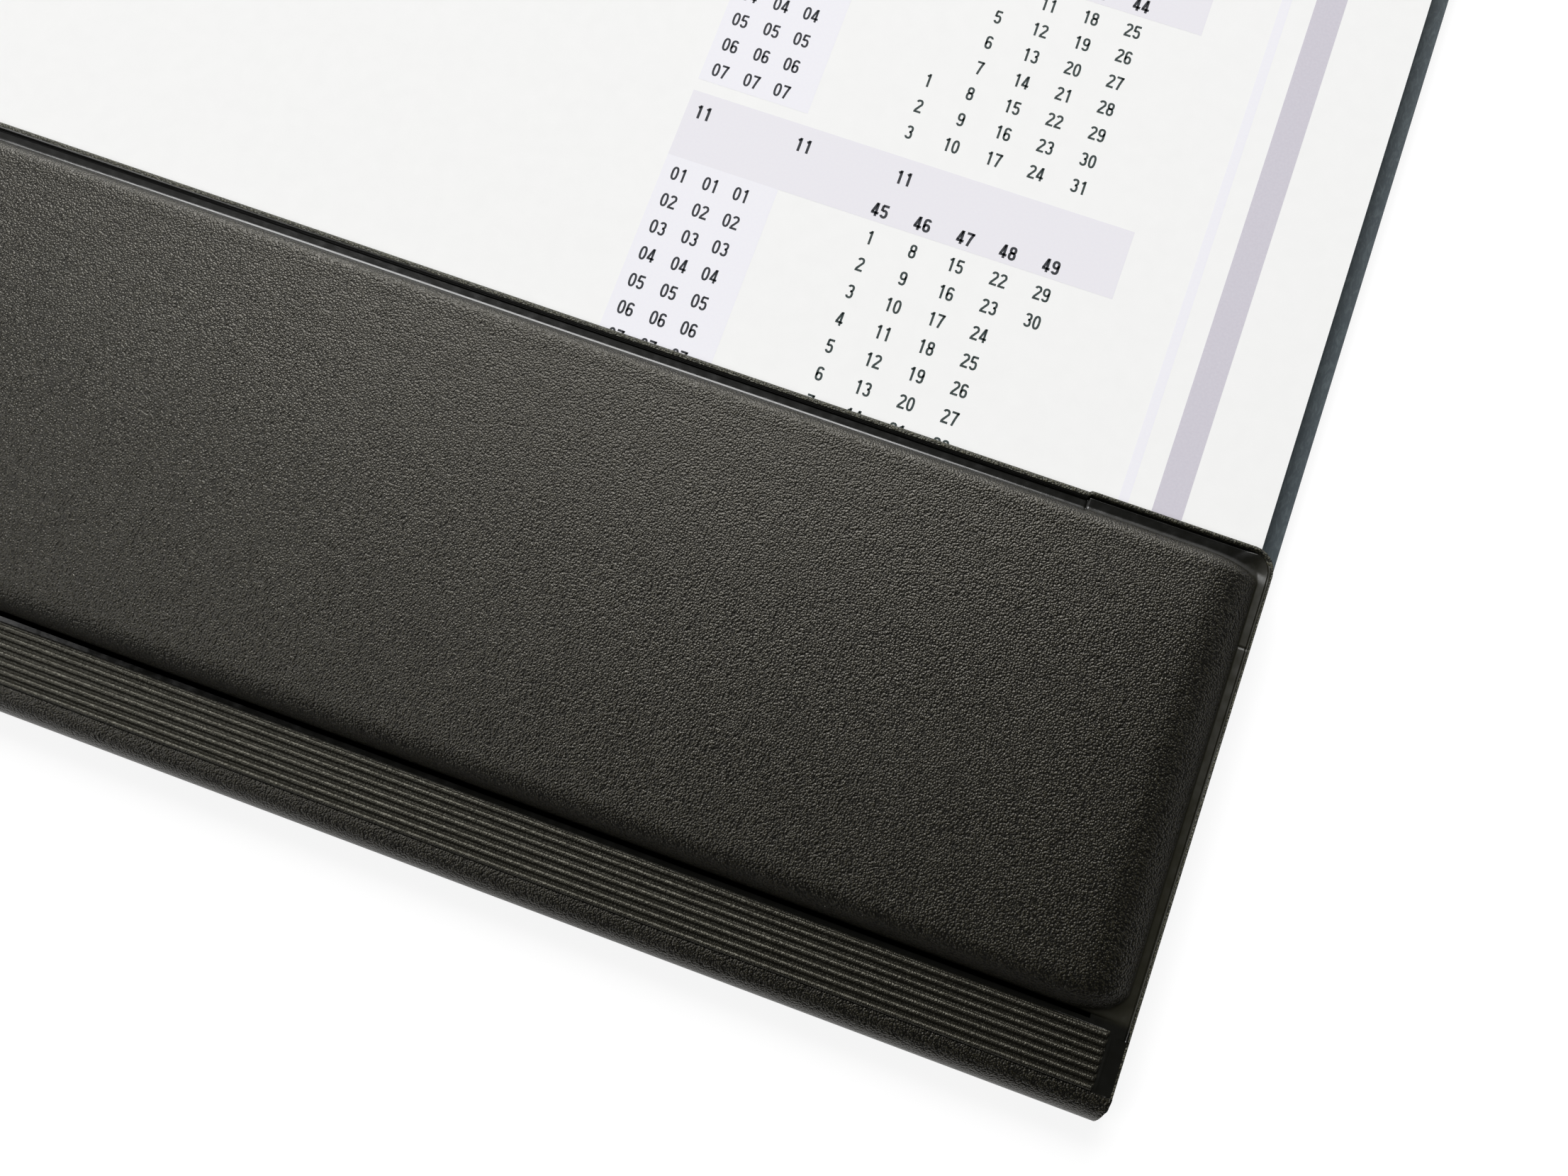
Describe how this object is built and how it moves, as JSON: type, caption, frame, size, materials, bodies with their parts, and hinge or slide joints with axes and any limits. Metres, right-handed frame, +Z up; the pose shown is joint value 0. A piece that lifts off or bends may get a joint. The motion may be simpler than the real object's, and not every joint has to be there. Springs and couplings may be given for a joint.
{
  "type": "paper desk pad",
  "caption": "Flat writing pad for a desk: large tear-off sheets on a backing board, with a hinged padded bar of soft grained plastic over the front edge.",
  "frame": {"origin": "centre of the footprint, on the surface that the pad lies on", "axes": "+X along the long side to the right, +Y from the padded bar to the rear edge, +Z up out of the sheets"},
  "size_m": [0.595, 0.41, 0.0099],
  "materials": {
    "pvc_skin": "satin",
    "pvc_lining": "matte",
    "foam": "matte",
    "paper": "matte",
    "board": "matte",
    "gum": "satin",
    "tape": "satin"
  },
  "bodies": {
    "base": {"backing_board": "board", "adhesive_tape": "tape", "gum_edge": "gum", "front_roll": "pvc_skin", "roll_lining": "pvc_lining", "hinge_band_front": "pvc_skin", "sheet_02": "paper", "sheet_03": "paper", "sheet_04": "paper", "sheet_05": "paper", "sheet_06": "paper", "sheet_07": "paper", "sheet_08": "paper", "sheet_09": "paper", "sheet_10": "paper", "sheet_11": "paper", "sheet_12": "paper", "sheet_13": "paper", "sheet_14": "paper", "sheet_15": "paper", "sheet_16": "paper", "sheet_17": "paper", "sheet_18": "paper", "sheet_19": "paper", "sheet_20": "paper", "sheet_21": "paper", "sheet_22": "paper", "sheet_23": "paper", "sheet_24": "paper", "sheet_25": "paper", "sheet_26": "paper", "sheet_27": "paper", "sheet_28": "paper", "sheet_29": "paper", "sheet_30": "paper"},
    "flap": {"hinge_band_rear": "pvc_skin", "cushion_cover": "pvc_skin", "foam_core": "foam", "cushion_lining": "pvc_lining"},
    "loose_sheet": {"top_sheet": "paper"}
  },
  "joints": [
    {"name": "flap_hinge", "type": "hinge", "parent": "base", "child": "flap", "pos_m": [0, -0.19709, 0.0069], "axis": [1, 0, 0], "range_deg": [0, 120]},
    {"name": "sheet_pull", "type": "slide", "parent": "base", "child": "loose_sheet", "axis": [0, 1, 0], "range_m": [0, 0.42]}
  ]
}
